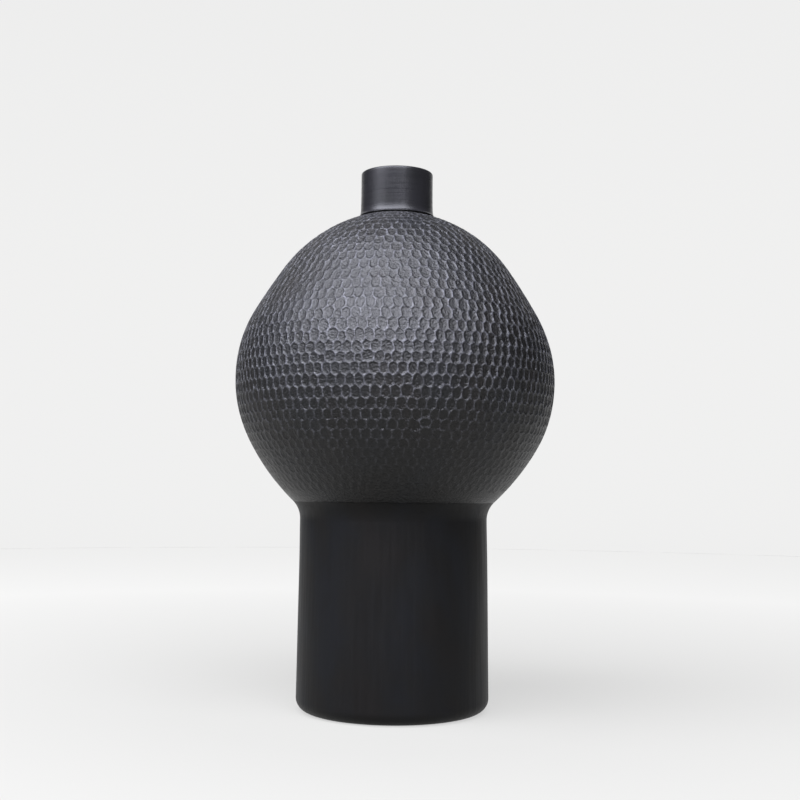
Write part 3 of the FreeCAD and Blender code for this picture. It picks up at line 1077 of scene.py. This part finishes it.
def make_sweep(name, section, start, angle, paint):
    """Spins part of the studio's sweep."""
    bm = bmesh.new()
    verts = [bm.verts.new((point.x, 0, point.y)) for point in section]
    edges = [bm.edges.new(pair) for pair in zip(verts, verts[1:])]
    turn = Matrix.Rotation(start, 4, "Z")
    bmesh.ops.transform(bm, matrix=turn, verts=verts)
    bmesh.ops.spin(
        bm,
        geom=verts + edges,
        cent=(0, 0, 0),
        axis=(0, 0, 1),
        angle=angle,
        steps=SWEEP_STEPS,
        use_merge=angle == FULL_TURN,
    )
    bmesh.ops.remove_doubles(bm, verts=list(bm.verts), dist=1e-5)
    bmesh.ops.recalc_face_normals(bm, faces=list(bm.faces))
    mesh = bpy.data.meshes.new(name)
    bm.to_mesh(mesh)
    bm.free()
    mesh.shade_smooth()
    mesh.materials.append(paint)
    sweep = bpy.data.objects.new(name, mesh)
    bpy.context.scene.collection.objects.link(sweep)
    return sweep


def make_paint(name, near_glow, far_glow, shade):
    """Matt pale paint whose own glow grows with the distance from the pot."""
    paint = bpy.data.materials.new(name)
    paint.use_nodes = True
    shader = paint.node_tree.nodes["Principled BSDF"]
    shader.inputs["Base Color"].default_value = (shade, shade * 0.985, shade * 0.87, 1)
    shader.inputs["Roughness"].default_value = 1
    shader.inputs["Specular IOR Level"].default_value = 0
    shader.inputs["Emission Color"].default_value = (1, 1, 1, 1)
    place = paint.node_tree.nodes.new("ShaderNodeTexCoord")
    length = paint.node_tree.nodes.new("ShaderNodeVectorMath")
    length.operation = "LENGTH"
    paint.node_tree.links.new(place.outputs["Object"], length.inputs[0])
    glow = add_range(paint, length.outputs["Value"], near_glow, far_glow, LIT_REACH, GLOW_REACH)
    paint.node_tree.links.new(glow, shader.inputs["Emission Strength"])
    return paint


floor_line = line(Vector((0, 0)), Vector((FLOOR_REACH, 0)), 8)
curve_centre = Vector((FLOOR_REACH, SWEEP_ROUND))
wall_line = arc(curve_centre, SWEEP_ROUND, -math.pi / 2, 0, 12)
wall_line.append(Vector((FLOOR_REACH + SWEEP_ROUND, WALL_TOP)))
sweep_paint = make_paint("sweep_paint", 0.58, 0.80, 0.067)
back_start = math.pi / 2 - BACKDROP_SPAN / 2
open_span = FULL_TURN - BACKDROP_SPAN
make_sweep("studio_floor", floor_line, 0, FULL_TURN, sweep_paint)
make_sweep("studio_wall", wall_line, back_start, BACKDROP_SPAN, sweep_paint)
open_side = make_sweep(
    "studio_open_side", wall_line, back_start + BACKDROP_SPAN, open_span, sweep_paint
)
open_side.visible_glossy = False
open_side.visible_diffuse = False
open_side.visible_shadow = False

# %% [markdown]
# ## The lamps
# One big soft lamp hangs above the pot, a little to the front and left: it draws the broad sheen on the
# crown of the globe.  A second, smaller and much weaker, stands front left and gives the neck its
# soft flat light.  Big lamps are used because small ones would make hard spots on rubbed clay.

# %% Two soft lamps and a dim room
def add_lamp(name, place, target, wide, tall, power, colour):
    """A soft rectangular lamp that points from its place at a target."""
    lamp_data = bpy.data.lights.new(name, "AREA")
    lamp_data.shape = "RECTANGLE"
    lamp_data.size = wide
    lamp_data.size_y = tall
    lamp_data.energy = power
    lamp_data.color = colour
    lamp = bpy.data.objects.new(name, lamp_data)
    aim = (Vector(target) - Vector(place)).to_track_quat("-Z", "Y")
    lamp.matrix_world = Matrix.Translation(place) @ aim.to_matrix().to_4x4()
    lamp.visible_camera = False
    bpy.context.scene.collection.objects.link(lamp)


COOL_WHITE = (0.87, 0.885, 1.0)
add_lamp("overhead_lamp", (-0.27, -0.75, 1.34), (0, 0, 0.28), 2.4, 1.1, 155, COOL_WHITE)
add_lamp("front_left_lamp", (-1.45, -0.80, 1.20), (0, 0, 0.3), 1.4, 0.7, 16, COOL_WHITE)

world = bpy.data.worlds.new("room")
world.use_nodes = True
world.node_tree.nodes["Background"].inputs["Color"].default_value = (1, 1, 1, 1)
world.node_tree.nodes["Background"].inputs["Strength"].default_value = 0.08
bpy.context.scene.world = world
bpy.context.scene.view_settings.view_transform = "Standard"
